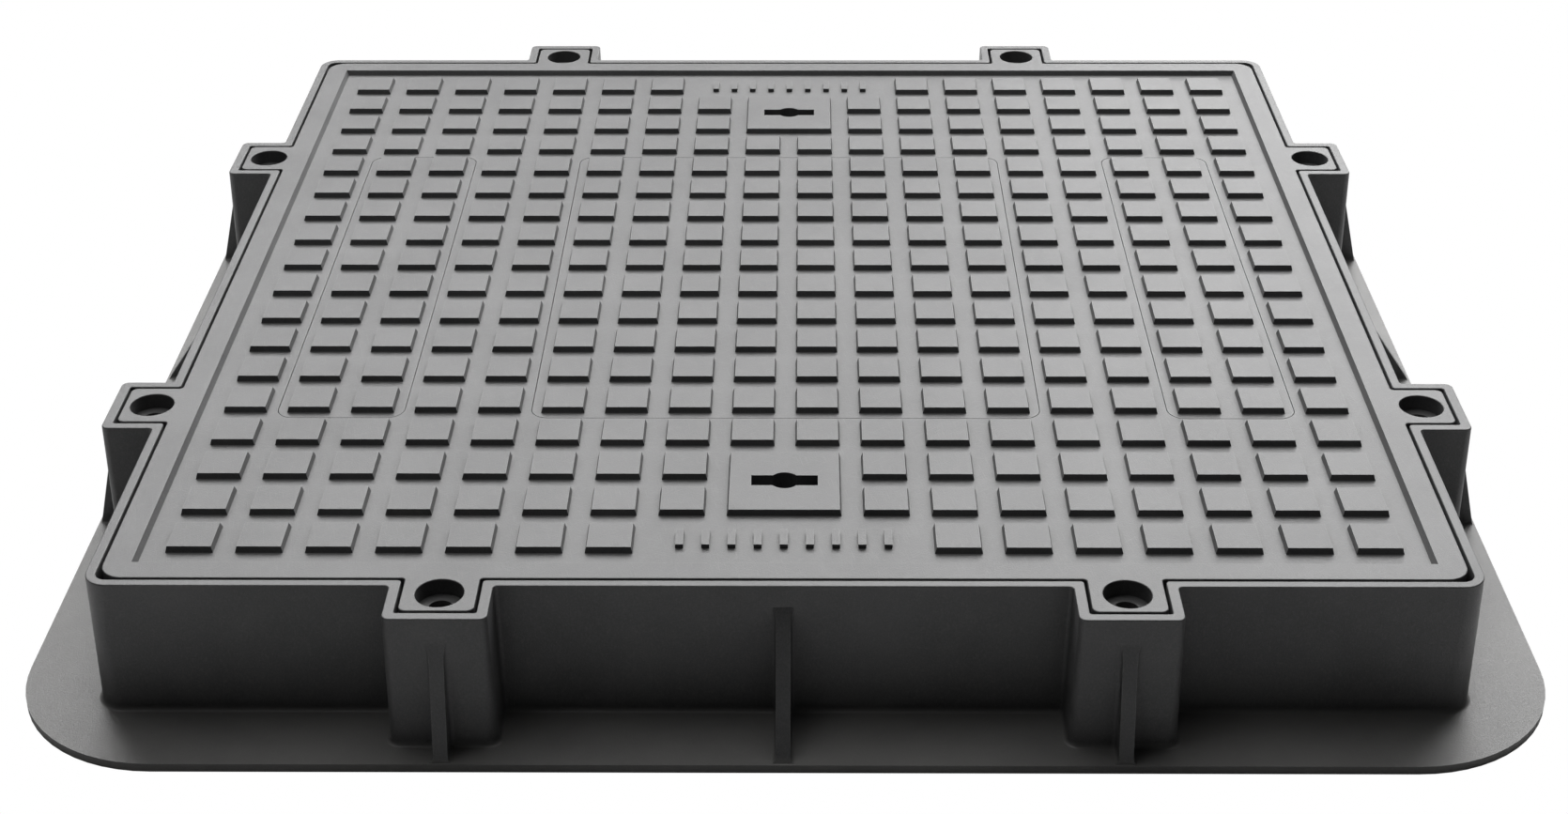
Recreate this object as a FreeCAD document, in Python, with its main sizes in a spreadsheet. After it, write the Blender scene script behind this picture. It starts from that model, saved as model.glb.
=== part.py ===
import FreeCAD, Part
import math
import os
import Sketcher
from FreeCAD import Placement, Rotation, Vector

# Bolted, drainage-chamber access cover: a square frame with a wide bottom flange, and a
# square tread cover that drops into it and is held by eight bolted lugs. Millimetres.
# +Z is up, X runs left to right, Y runs front to back, and the origin is the middle of
# the frame's bottom face.

document = FreeCAD.newDocument("manhole_cover")

sizes = document.addObject("Spreadsheet::Sheet", "Sizes")
driving_sizes = {
    # frame
    "frame_height": 100.0,
    "flange_width": 56.65,
    "flange_corner": 100.0,
    "flange_thickness": 6.0,
    "rim_wall": 6.4,
    "rim_corner": 15.0,
    "pocket_corner": 8.0,
    "wall_draft": 1.2,
    "foot_fillet": 3.0,
    "seat_width": 50.0,
    "opening_corner": 40.0,
    "gusset_thickness": 9.0,
    "gusset_drop": 15.0,
    "gusset_edge": 1.5,
    "edge_round": 0.8,
    # cover
    "cover_side": 850.0,
    "cover_corner": 15.0,
    "cover_depth": 78.0,
    "cover_gap": 1.95,
    "cover_skin": 22.0,
    "skirt_wall": 16.0,
    "web_thickness": 8.0,
    "web_clearance": 6.2,
    "border_band": 17.4,
    "border_draft": 30.0,
    # bolted lugs, two on each side
    "lug_offset": 210.5,
    "lug_width": 46.4,
    "lug_reach": 35.4,
    "lug_depth": 30.0,
    "lug_corner": 5.0,
    "lug_wall": 6.9,
    "lug_clearance": 0.5,
    "lug_junction": 2.5,
    "bolt_setback": 16.2,
    "bolt_hole": 15.6,
    "counterbore": 30.0,
    "counterbore_depth": 11.0,
    # threaded inserts under the lugs, for an M12 bolt
    "insert_bore": 10.2,
    "insert_body": 18.0,
    "insert_collar": 22.0,
    "insert_length": 26.0,
    "collar_height": 3.0,
    "bond_line": 0.1,
    # tread
    "tread_pitch": 44.2,
    "tread_height": 4.1,
    "stud_top": 28.0,
    "stud_base": 30.3,
    "mark_width": 5.0,
    "mark_length": 18.0,
    "mark_height": 2.9,
    "panel_thickness": 8.0,
    "panel_joint": 0.5,
    "panel_corner": 12.0,
    # seal under the skirt
    "seal_width": 12.0,
    "seal_proud": 3.7,
    "seal_clearance": 0.3,
    "groove_depth": 2.0,
    # keyholes, strike plates and pots
    "key_slot_length": 44.0,
    "key_slot_width": 12.5,
    "key_shank": 20.0,
    "strike_margin": 6.0,
    "strike_thickness": 5.0,
    "strike_corner": 4.0,
    "pot_flange": 3.0,
    "pot_room": 3.0,
    "pot_wall": 3.0,
    "pot_depth": 42.0,
    "pot_screw_setback": 6.0,
    "pot_screw": 5.0,
    "pot_screw_head": 9.0,
    "pot_screw_head_height": 3.5,
    "pot_screw_bite": 12.0,
    "pot_screw_clearance": 0.15,
}
for row, (alias, value) in enumerate(driving_sizes.items(), start=1):
    sizes.set(f"A{row}", alias)
    sizes.set(f"B{row}", str(value))
    sizes.setAlias(f"B{row}", alias)
document.recompute()


def size(expression):
    """The number, in millimetres or degrees, that an expression on the sheet gives."""
    value = sizes.evalExpression(expression)
    return float(getattr(value, "Value", value))


# The tread grid holds as many studs as the sunk field takes, and always 2 more than a multiple
# of 4, so that each keyhole lies over the middle of a cell between the webs.
FIELD_SIDE = "(Sizes.cover_side - 2 * Sizes.border_band)"
TREAD_COUNT = 4 * int((size(f"{FIELD_SIDE} / Sizes.tread_pitch") - 2) / 4) + 2
MIDDLE = TREAD_COUNT // 2
KEY_ROW = MIDDLE - 2
PANEL_COLUMNS = {
    "centre_tread_panel": range(5, TREAD_COUNT - 5),
    "left_tread_panel": range(1, 3),
    "right_tread_panel": range(TREAD_COUNT - 3, TREAD_COUNT - 1),
}
PANEL_ROWS = range(4, TREAD_COUNT - 4)
KEY_COLUMNS = (MIDDLE - 1, MIDDLE)
KEY_ROWS = (1, 2, TREAD_COUNT - 3, TREAD_COUNT - 2)
MARK_COLUMNS = range(MIDDLE - 2, MIDDLE + 2)
MARK_ROWS = (0, TREAD_COUNT - 1)
MARKS_IN_ROW = 9

# Lengths worked out from the driving sizes, as expressions for the features below.
HALF_COVER = "Sizes.cover_side / 2"
POCKET_SIDE = "(Sizes.cover_side + 2 * Sizes.cover_gap)"
RIM_SIDE = "(Sizes.cover_side + 2 * Sizes.cover_gap + 2 * Sizes.rim_wall)"
FLANGE_SIDE = f"({RIM_SIDE} + 2 * Sizes.flange_width)"
CLEAR_OPENING = "(Sizes.cover_side - 2 * Sizes.seat_width)"
COVER_BOTTOM = "(Sizes.frame_height - Sizes.cover_depth)"
SEAT_HEIGHT = "(Sizes.frame_height - Sizes.cover_depth - Sizes.seal_clearance - Sizes.seal_proud)"
RECESS_FLOOR = "(Sizes.frame_height - Sizes.tread_height)"
SKIN_UNDERSIDE = "(Sizes.frame_height - Sizes.cover_skin)"
LUG_SHELF = "(Sizes.frame_height - Sizes.lug_depth - Sizes.lug_clearance)"
LUG_POCKET_WIDTH = "(Sizes.lug_width + 2 * Sizes.cover_gap)"
LUG_POCKET_REACH = "(Sizes.cover_side / 2 + Sizes.lug_reach + Sizes.cover_gap)"
LUG_BOX_WIDTH = "(Sizes.lug_width + 2 * Sizes.cover_gap + 2 * Sizes.lug_wall)"
LUG_BOX_REACH = "(Sizes.cover_side / 2 + Sizes.lug_reach + Sizes.cover_gap + Sizes.lug_wall)"
BOLT_REACH = "(Sizes.cover_side / 2 + Sizes.bolt_setback)"
SEAL_SIDE = "(Sizes.cover_side - Sizes.skirt_wall + Sizes.seal_width)"
KEY_REACH = f"({KEY_ROW} * Sizes.tread_pitch)"
POT_OUTSIDE = "(Sizes.key_slot_length + 2 * Sizes.pot_room + 2 * Sizes.pot_wall)"
STRIKE_SIDE = f"({POT_OUTSIDE} + 2 * Sizes.strike_margin)"
SCREW_OFFSET = f"({STRIKE_SIDE} / 2 - Sizes.pot_screw_setback)"
WEB_SPACING = f"({STRIKE_SIDE} + 2 * Sizes.web_clearance + Sizes.web_thickness)"


def origin_feature(body, role):
    """One of a body's own origin planes or axes."""
    return next(item for item in body.Origin.OriginFeatures if item.Role == role)


def new_body(label):
    body = document.addObject("PartDesign::Body", label)
    body.Label = label
    return body


def new_sketch(body, name, height="0", plane="XY_Plane"):
    """An empty sketch on a body's own plane, lifted along that plane's normal."""
    sketch = body.newObject("Sketcher::SketchObject", name)
    sketch.AttachmentSupport = (origin_feature(body, plane), "")
    sketch.MapMode = "FlatFace"
    sketch.setExpression("AttachmentOffset.Base.z", height)
    return sketch


def bind(sketch, constraint, name, expression):
    """Adds a dimension and ties it to the sheet."""
    index = sketch.addConstraint(constraint)
    sketch.renameConstraint(index, name)
    sketch.setExpression(f"Constraints.{name}", expression)


def add_rectangle(sketch, name, left, bottom, width, depth, radius=None):
    """A rectangle with its lower left corner placed from the origin, corners rounded if asked.

    left and bottom are expressions for the corner's coordinates, and may be negative.
    """
    low_x = size(left)
    low_y = size(bottom)
    high_x = low_x + size(width)
    high_y = low_y + size(depth)
    corner = size(radius) if radius else 0.0
    corners = [(high_x, low_y), (high_x, high_y), (low_x, high_y), (low_x, low_y)]
    step = [(1, 0), (0, 1), (-1, 0), (0, -1)]
    lines = []
    arcs = []
    for side in range(4):
        begin = Vector(*corners[side - 1], 0) + Vector(*step[side], 0) * corner
        finish = Vector(*corners[side], 0) - Vector(*step[side], 0) * corner
        lines.append(sketch.addGeometry(Part.LineSegment(begin, finish), False))
        if corner:
            turn = Vector(*step[(side + 1) % 4], 0)
            centre = finish + turn * corner
            start_angle = (side - 1) * math.pi / 2
            circle = Part.Circle(centre, Vector(0, 0, 1), corner)
            arc = Part.ArcOfCircle(circle, start_angle, start_angle + math.pi / 2)
            arcs.append(sketch.addGeometry(arc, False))
    for side in range(4):
        following = lines[(side + 1) % 4]
        if corner:
            sketch.addConstraint(Sketcher.Constraint("Tangent", lines[side], 2, arcs[side], 1))
            sketch.addConstraint(Sketcher.Constraint("Tangent", arcs[side], 2, following, 1))
            if side:
                sketch.addConstraint(Sketcher.Constraint("Equal", arcs[0], arcs[side]))
        else:
            sketch.addConstraint(Sketcher.Constraint("Coincident", lines[side], 2, following, 1))
    sketch.addConstraint(Sketcher.Constraint("Horizontal", lines[0]))
    sketch.addConstraint(Sketcher.Constraint("Horizontal", lines[2]))
    sketch.addConstraint(Sketcher.Constraint("Vertical", lines[1]))
    sketch.addConstraint(Sketcher.Constraint("Vertical", lines[3]))
    if corner:
        bind(sketch, Sketcher.Constraint("Radius", arcs[0], corner), f"{name}_radius", radius)
    bind(sketch, Sketcher.Constraint("DistanceX", lines[3], 1, lines[1], 1, high_x - low_x),
         f"{name}_width", width)
    bind(sketch, Sketcher.Constraint("DistanceY", lines[0], 1, lines[2], 1, high_y - low_y),
         f"{name}_depth", depth)
    if low_x < 0:
        bind(sketch, Sketcher.Constraint("DistanceX", lines[3], 1, -1, 1, -low_x),
             f"{name}_left", f"-({left})")
    else:
        bind(sketch, Sketcher.Constraint("DistanceX", -1, 1, lines[3], 1, low_x),
             f"{name}_left", left)
    if low_y < 0:
        bind(sketch, Sketcher.Constraint("DistanceY", lines[0], 1, -1, 1, -low_y),
             f"{name}_bottom", f"-({bottom})")
    else:
        bind(sketch, Sketcher.Constraint("DistanceY", -1, 1, lines[0], 1, low_y),
             f"{name}_bottom", bottom)


def add_centred_rectangle(sketch, name, width, depth, radius=None, centre_x="0", centre_y="0"):
    """A rectangle about a centre point."""
    left = f"{centre_x} - ({width}) / 2"
    bottom = f"{centre_y} - ({depth}) / 2"
    add_rectangle(sketch, name, left, bottom, width, depth, radius)


def add_circle(sketch, name, centre_x, centre_y, diameter):
    """A circle placed from the sketch's origin."""
    x = size(centre_x)
    y = size(centre_y)
    circle = Part.Circle(Vector(x, y, 0), Vector(0, 0, 1), size(diameter) / 2)
    index = sketch.addGeometry(circle, False)
    bind(sketch, Sketcher.Constraint("Diameter", index, size(diameter)), f"{name}_diameter", diameter)
    for kind, value, expression in (("DistanceX", x, centre_x), ("DistanceY", y, centre_y)):
        label = f"{name}_{kind.lower()}"
        if abs(value) < 1e-9:
            other = "Vertical" if kind == "DistanceX" else "Horizontal"
            sketch.addConstraint(Sketcher.Constraint(other, -1, 1, index, 3))
        elif value < 0:
            bind(sketch, Sketcher.Constraint(kind, index, 3, -1, 1, -value), label, f"-({expression})")
        else:
            bind(sketch, Sketcher.Constraint(kind, -1, 1, index, 3, value), label, expression)


def add_profile(sketch, corners):
    """A closed outline of straight sides, each corner given by two expressions and locked."""
    points = [Vector(size(x), size(y), 0) for x, y in corners]
    lines = []
    for index, point in enumerate(points):
        segment = Part.LineSegment(point, points[(index + 1) % len(points)])
        lines.append(sketch.addGeometry(segment, False))
    for index, line in enumerate(lines):
        following = lines[(index + 1) % len(lines)]
        sketch.addConstraint(Sketcher.Constraint("Coincident", line, 2, following, 1))
    for index, (point, (x, y)) in enumerate(zip(points, corners)):
        for kind, value, expression in (("DistanceX", point.x, x), ("DistanceY", point.y, y)):
            label = f"corner_{index}_{kind.lower()}"
            if value < 0:
                bind(sketch, Sketcher.Constraint(kind, lines[index], 1, -1, 1, -value),
                     label, f"-({expression})")
            else:
                bind(sketch, Sketcher.Constraint(kind, -1, 1, lines[index], 1, value),
                     label, expression)


def pad(body, name, sketch, length, downwards=False, both_sides=False, draft=None):
    """Material added to a body from a sketch."""
    feature = body.newObject("PartDesign::Pad", name)
    feature.Profile = sketch
    feature.setExpression("Length", length)
    feature.Reversed = downwards
    if both_sides:
        feature.Midplane = True
    if draft:
        feature.setExpression("TaperAngle", draft)
    document.recompute()
    return feature


def pocket(body, name, sketch, length, upwards=False, draft=None):
    """Material taken from a body, which has to get smaller."""
    before = body.Shape.Volume
    feature = body.newObject("PartDesign::Pocket", name)
    feature.Profile = sketch
    feature.setExpression("Length", length)
    feature.Reversed = upwards
    if draft:
        feature.setExpression("TaperAngle", draft)
    document.recompute()
    if not body.Shape.Volume < before - 1.0:
        raise ValueError(f"{body.Label}: pocket {name} cut nothing")
    return feature


def repeat_on_four_sides(body, name, features):
    """The same features on the front, right, back and left."""
    pattern = body.newObject("PartDesign::PolarPattern", name)
    pattern.Originals = features
    pattern.Axis = (origin_feature(body, "Z_Axis"), [""])
    pattern.Angle = 360
    pattern.Occurrences = 4
    body.Tip = pattern
    document.recompute()
    return pattern


def repeat_in_line(body, name, feature, axis, count, length):
    """The same feature several times along an axis, over a total length."""
    pattern = body.newObject("PartDesign::LinearPattern", name)
    pattern.Originals = [feature]
    pattern.Direction = (origin_feature(body, axis), [""])
    pattern.setExpression("Length", length)
    pattern.Occurrences = count
    body.Tip = pattern
    document.recompute()
    return pattern


def round_edges(body, name, radius, wanted):
    """Fillets the edges of the body's tip that a test picks."""
    base = body.Tip
    names = [f"Edge{index}" for index, edge in enumerate(base.Shape.Edges, start=1) if wanted(edge)]
    fillet = body.newObject("PartDesign::Fillet", name)
    fillet.Base = (base, names)
    fillet.setExpression("Radius", radius)
    document.recompute()
    return fillet


def lies_at(edge, height):
    """Whether an edge lies all in the level plane at a height."""
    box = edge.BoundBox
    return abs(box.ZMin - height) < 1e-4 and abs(box.ZMax - height) < 1e-4


def reach(edge):
    """How far an edge comes from the middle of the cover, measured square to its sides."""
    box = edge.BoundBox
    return max(abs(box.XMin), abs(box.XMax), abs(box.YMin), abs(box.YMax))


def stands_at(edge, outward, sideways, slack=0.02):
    """Whether an upright edge stands at a distance outward from the middle and one sideways.

    The same two distances hold on all four sides. Slack takes up the draft of a wall.
    """
    box = edge.BoundBox
    if box.ZLength < size("Sizes.lug_depth") - slack or max(box.XLength, box.YLength) > slack:
        return False
    near, far = sorted((abs(box.Center.x), abs(box.Center.y)))
    return abs(far - outward) < slack and any(abs(near - place) < slack for place in sideways)


def flanks(width):
    """Where the two flanks of a lug of some width stand, sideways from the middle."""
    offset = size("Sizes.lug_offset")
    return [offset - size(width) / 2, offset + size(width) / 2]


# ---------------------------------------------------------------- frame
# One compression moulding: bottom flange, drafted wall, eight boxed lugs and twelve gussets
# outside; inside, the shaft opening, the seat with its seal groove and the lug shelves.
frame = new_body("frame")

sketch = new_sketch(frame, "flange_outline")
add_centred_rectangle(sketch, "flange", FLANGE_SIDE, FLANGE_SIDE, "Sizes.flange_corner")
pad(frame, "flange", sketch, "Sizes.flange_thickness")

sketch = new_sketch(frame, "wall_outline", "Sizes.frame_height")
add_centred_rectangle(sketch, "wall", RIM_SIDE, RIM_SIDE, "Sizes.rim_corner")
pad(frame, "wall", sketch, "Sizes.frame_height", downwards=True, draft="Sizes.wall_draft")

LUG_BOX_DEPTH = "(Sizes.lug_reach + Sizes.cover_gap + Sizes.lug_wall + Sizes.skirt_wall)"
sketch = new_sketch(frame, "lug_box_outlines", "Sizes.frame_height")
for side, sign in (("left", "-1"), ("right", "1")):
    add_rectangle(sketch, side, f"{sign} * Sizes.lug_offset - {LUG_BOX_WIDTH} / 2",
                  f"-{LUG_BOX_REACH}", LUG_BOX_WIDTH, LUG_BOX_DEPTH, "Sizes.lug_corner")
lug_boxes = pad(frame, "lug_boxes", sketch, "Sizes.frame_height", downwards=True,
                draft="Sizes.wall_draft")
repeat_on_four_sides(frame, "all_lug_boxes", [lug_boxes])

WALL_FACE = f"({RIM_SIDE} / 2)"
draft_slack = size("Sizes.frame_height * tan(Sizes.wall_draft)") + 1
round_edges(frame, "lug_box_junctions", "Sizes.foot_fillet",
            lambda edge: stands_at(edge, size(WALL_FACE), flanks(LUG_BOX_WIDTH), draft_slack))
round_edges(frame, "wall_foot", "Sizes.foot_fillet",
            lambda edge: lies_at(edge, size("Sizes.flange_thickness"))
            and reach(edge) < size(LUG_BOX_REACH) + draft_slack)

GUSSET_TOP = "(Sizes.frame_height - Sizes.gusset_drop)"
GUSSET_FOOT = f"({FLANGE_SIDE} / 2 - Sizes.gusset_edge)"


def add_gusset(name, offset, root):
    """A triangular web from a face at root out to the flange's edge, offset along X."""
    outline = new_sketch(frame, f"{name}_outline", offset, plane="YZ_Plane")
    add_profile(outline, [(f"-({root} - Sizes.rim_wall / 2)", "Sizes.flange_thickness / 2"),
                          (f"-({root} - Sizes.rim_wall / 2)", GUSSET_TOP),
                          (f"-{root}", GUSSET_TOP),
                          (f"-{GUSSET_FOOT}", "Sizes.flange_thickness"),
                          (f"-{GUSSET_FOOT}", "Sizes.flange_thickness / 2")])
    return pad(frame, name, outline, "Sizes.gusset_thickness", both_sides=True)


gussets = [add_gusset("middle_gusset", "0", WALL_FACE),
           add_gusset("left_gusset", "-Sizes.lug_offset", LUG_BOX_REACH),
           add_gusset("right_gusset", "Sizes.lug_offset", LUG_BOX_REACH)]
repeat_on_four_sides(frame, "all_gussets", gussets)


def is_gusset_root(edge):
    """The upright corners where a gusset's sides meet the wall or a lug box."""
    half = size("Sizes.gusset_thickness") / 2
    lug = size("Sizes.lug_offset")
    on_wall = stands_at(edge, size(WALL_FACE), [half], draft_slack)
    on_box = stands_at(edge, size(LUG_BOX_REACH), [lug - half, lug + half], draft_slack)
    return on_wall or on_box


round_edges(frame, "gusset_roots", "Sizes.foot_fillet", is_gusset_root)

sketch = new_sketch(frame, "cover_pocket_outline", "Sizes.frame_height")
add_centred_rectangle(sketch, "pocket", POCKET_SIDE, POCKET_SIDE, "Sizes.pocket_corner")
pocket(frame, "cover_pocket", sketch, f"Sizes.frame_height - {SEAT_HEIGHT}")

sketch = new_sketch(frame, "shaft_outline", "Sizes.frame_height")
add_centred_rectangle(sketch, "shaft", CLEAR_OPENING, CLEAR_OPENING, "Sizes.opening_corner")
pocket(frame, "shaft", sketch, "Sizes.frame_height + Sizes.flange_thickness")

sketch = new_sketch(frame, "seal_groove_outline", SEAT_HEIGHT)
add_centred_rectangle(sketch, "outer", f"{SEAL_SIDE} + 2 * Sizes.bond_line",
                      f"{SEAL_SIDE} + 2 * Sizes.bond_line", "Sizes.cover_corner")
add_centred_rectangle(sketch, "inner", f"{SEAL_SIDE} - 2 * Sizes.seal_width - 2 * Sizes.bond_line",
                      f"{SEAL_SIDE} - 2 * Sizes.seal_width - 2 * Sizes.bond_line",
                      "Sizes.cover_corner - Sizes.seal_width + 2")
pocket(frame, "seal_groove", sketch, "Sizes.groove_depth")

sketch = new_sketch(frame, "lug_pocket_outlines", "Sizes.frame_height")
for side, sign in (("left", "-1"), ("right", "1")):
    add_rectangle(sketch, side, f"{sign} * Sizes.lug_offset - {LUG_POCKET_WIDTH} / 2",
                  f"-{LUG_POCKET_REACH}", LUG_POCKET_WIDTH,
                  "Sizes.lug_reach + Sizes.cover_gap + Sizes.skirt_wall", "Sizes.lug_corner / 3")
lug_pockets = pocket(frame, "lug_pockets", sketch, f"Sizes.frame_height - {LUG_SHELF}")

insert_cuts = []
for name, diameter, depth in (("insert_body_holes", "Sizes.insert_body", "Sizes.insert_length"),
                              ("insert_collar_holes", "Sizes.insert_collar", "Sizes.collar_height")):
    sketch = new_sketch(frame, f"{name}_outline", LUG_SHELF)
    for side, sign in (("left", "-1"), ("right", "1")):
        add_circle(sketch, side, f"{sign} * Sizes.lug_offset", f"-{BOLT_REACH}",
                   f"{diameter} + 2 * Sizes.bond_line")
    insert_cuts.append(pocket(frame, name, sketch, f"{depth} + Sizes.bond_line"))
repeat_on_four_sides(frame, "lug_cuts", [lug_pockets] + insert_cuts)
round_edges(frame, "lug_pocket_junctions", "Sizes.lug_junction",
            lambda edge: stands_at(edge, size(f"{POCKET_SIDE} / 2"), flanks(LUG_POCKET_WIDTH)))
round_edges(frame, "rim_edges", "Sizes.edge_round",
            lambda edge: lies_at(edge, size("Sizes.frame_height")))

# ---------------------------------------------------------------- tread studs
# One drafted square stud, and the small plain bar that fills the blank marking zones.
stud = document.addObject("Part::Wedge", "stud_pattern")
for low, high, expression in (("Xmin", "Xmax", "Sizes.stud_base / 2"),
                              ("Zmin", "Zmax", "Sizes.stud_base / 2"),
                              ("X2min", "X2max", "Sizes.stud_top / 2"),
                              ("Z2min", "Z2max", "Sizes.stud_top / 2")):
    stud.setExpression(low, f"-{expression}")
    stud.setExpression(high, expression)
stud.Ymin = 0
stud.setExpression("Ymax", "Sizes.tread_height")
stud.Placement = Placement(Vector(0, 0, 0), Rotation(Vector(1, 0, 0), 90))

mark = document.addObject("Part::Box", "mark_pattern")
mark.setExpression("Length", "Sizes.mark_width")
mark.setExpression("Width", "Sizes.mark_length")
mark.setExpression("Height", "Sizes.mark_height")
mark.setExpression("Placement.Base.x", "-Sizes.mark_width / 2")
mark.setExpression("Placement.Base.y", "-Sizes.mark_length / 2")
document.recompute()


def tread_centre(column, row):
    """The middle of a tread position; column 0 is at the left, row 0 at the back."""
    pitch = size("Sizes.tread_pitch")
    middle = (TREAD_COUNT - 1) / 2
    return Vector((column - middle) * pitch, (middle - row) * pitch, size(RECESS_FLOOR))


def place_studs(label, columns, rows, skip):
    """A group of studs over part of the grid."""
    studs = []
    for column in columns:
        for row in rows:
            if not skip(column, row):
                copy = stud.Shape.copy()
                copy.translate(tread_centre(column, row))
                studs.append(copy)
    group = document.addObject("Part::Feature", label)
    group.Shape = Part.makeCompound(studs)
    return group


def belongs_elsewhere(column, row):
    """Whether a tread position is on a panel, or taken by a key pad or marking zone."""
    on_panel = row in PANEL_ROWS and any(column in held for held in PANEL_COLUMNS.values())
    key_pad = column in KEY_COLUMNS and row in KEY_ROWS
    marking = column in MARK_COLUMNS and row in MARK_ROWS
    return on_panel or key_pad or marking


def place_marks():
    """A row of plain bars across each marking zone."""
    bars = []
    for row in MARK_ROWS:
        first = tread_centre(MARK_COLUMNS[0], row)
        step = (tread_centre(MARK_COLUMNS[-1], row) - first) / (MARKS_IN_ROW - 1)
        for index in range(MARKS_IN_ROW):
            bar = mark.Shape.copy()
            bar.translate(first + step * index)
            bars.append(bar)
    group = document.addObject("Part::Feature", "marking_bars")
    group.Shape = Part.makeCompound(bars)
    return group


# ---------------------------------------------------------------- cover
# One moulding: plate and skirt with stiffening webs beneath, eight counterbored lugs, a
# sunk tread field with pockets for three tread panels, and two keyholes in raised pads.
moulding = new_body("cover_moulding")

sketch = new_sketch(moulding, "plate_outline", "Sizes.frame_height")
add_centred_rectangle(sketch, "plate", "Sizes.cover_side", "Sizes.cover_side", "Sizes.cover_corner")
pad(moulding, "plate", sketch, "Sizes.cover_depth", downwards=True)

sketch = new_sketch(moulding, "lug_outlines", "Sizes.frame_height")
for side, sign in (("left", "-1"), ("right", "1")):
    add_rectangle(sketch, side, f"{sign} * Sizes.lug_offset - Sizes.lug_width / 2",
                  f"-({HALF_COVER} + Sizes.lug_reach)", "Sizes.lug_width",
                  "Sizes.lug_reach + Sizes.skirt_wall", "Sizes.lug_corner")
lugs = pad(moulding, "lugs", sketch, "Sizes.lug_depth", downwards=True)
repeat_on_four_sides(moulding, "all_lugs", [lugs])
round_edges(moulding, "lug_junctions", "Sizes.lug_junction",
            lambda edge: stands_at(edge, size(HALF_COVER), flanks("Sizes.lug_width")))

sketch = new_sketch(moulding, "tread_recess_outline", "Sizes.frame_height")
add_centred_rectangle(sketch, "recess", FIELD_SIDE, FIELD_SIDE)
pocket(moulding, "tread_recess", sketch, "Sizes.tread_height", draft="-Sizes.border_draft")

KEY_PAD_SIDE = "(Sizes.tread_pitch + Sizes.stud_top)"
sketch = new_sketch(moulding, "key_pad_outlines", "Sizes.frame_height")
for end, sign in (("front", "-1"), ("back", "1")):
    add_centred_rectangle(sketch, end, KEY_PAD_SIDE, KEY_PAD_SIDE, None, "0", f"{sign} * {KEY_REACH}")
STUD_DRAFT = "atan((Sizes.stud_base - Sizes.stud_top) / 2 / Sizes.tread_height)"
pad(moulding, "key_pads", sketch, "Sizes.tread_height", downwards=True, draft=STUD_DRAFT)

INSIDE_SKIRT = "(Sizes.cover_side - 2 * Sizes.skirt_wall)"
sketch = new_sketch(moulding, "underside_outline", COVER_BOTTOM)
add_centred_rectangle(sketch, "underside", INSIDE_SKIRT, INSIDE_SKIRT, "Sizes.pocket_corner")
pocket(moulding, "underside", sketch, "Sizes.cover_depth - Sizes.cover_skin", upwards=True)

WEB_HEIGHT = "Sizes.cover_depth - Sizes.cover_skin"
WEB_LENGTH = f"{INSIDE_SKIRT} + Sizes.skirt_wall"
INNER_WEB = f"({KEY_REACH} - {WEB_SPACING} / 2)"
OUTER_WEB = f"({KEY_REACH} + {WEB_SPACING} / 2)"
cells_aside = int(size(f"({INSIDE_SKIRT} / 2 - {WEB_SPACING}) / {WEB_SPACING}"))
FIRST_WEB = f"({cells_aside} * {WEB_SPACING} + {WEB_SPACING} / 2)"
sketch = new_sketch(moulding, "web_across_outline", SKIN_UNDERSIDE)
add_centred_rectangle(sketch, "web", "Sizes.web_thickness", WEB_LENGTH, None, f"-{FIRST_WEB}")
web = pad(moulding, "web_across", sketch, WEB_HEIGHT, downwards=True)
repeat_in_line(moulding, "webs_across", web, "X_Axis", 2 * cells_aside + 2, f"2 * {FIRST_WEB}")

cells_between = round(size(f"2 * {INNER_WEB} / {WEB_SPACING}"))
sketch = new_sketch(moulding, "web_along_outline", SKIN_UNDERSIDE)
add_centred_rectangle(sketch, "web", WEB_LENGTH, "Sizes.web_thickness", None, "0", f"-{INNER_WEB}")
web = pad(moulding, "web_along", sketch, WEB_HEIGHT, downwards=True)
repeat_in_line(moulding, "webs_along", web, "Y_Axis", cells_between + 1, f"2 * {INNER_WEB}")

sketch = new_sketch(moulding, "outer_web_outlines", SKIN_UNDERSIDE)
for end, sign in (("front", "-1"), ("back", "1")):
    add_centred_rectangle(sketch, end, WEB_LENGTH, "Sizes.web_thickness", None, "0",
                          f"{sign} * {OUTER_WEB}")
pad(moulding, "outer_webs", sketch, WEB_HEIGHT, downwards=True)


def middle_of(columns):
    """Where the middle of some tread columns stands along X, as an expression."""
    return f"{(columns[0] + columns[-1] - (TREAD_COUNT - 1)) / 2} * Sizes.tread_pitch"


PANEL_DEPTH = f"{len(PANEL_ROWS)} * Sizes.tread_pitch"
sketch = new_sketch(moulding, "panel_pocket_outlines", RECESS_FLOOR)
for label, columns in PANEL_COLUMNS.items():
    add_centred_rectangle(sketch, label, f"{len(columns)} * Sizes.tread_pitch + Sizes.panel_joint",
                          f"{PANEL_DEPTH} + Sizes.panel_joint", "Sizes.panel_corner",
                          middle_of(columns))
pocket(moulding, "panel_pockets", sketch, "Sizes.panel_thickness")

for name, make_outline in (
        ("key_slots", lambda sketch, end, y: add_centred_rectangle(
            sketch, end, "Sizes.key_slot_length", "Sizes.key_slot_width", None, "0", y)),
        ("key_shanks", lambda sketch, end, y: add_circle(sketch, end, "0", y, "Sizes.key_shank"))):
    sketch = new_sketch(moulding, f"{name}_outline", "Sizes.frame_height")
    for end, sign in (("front", "-1"), ("back", "1")):
        make_outline(sketch, end, f"{sign} * {KEY_REACH}")
    pocket(moulding, name, sketch, "Sizes.cover_skin")

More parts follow.
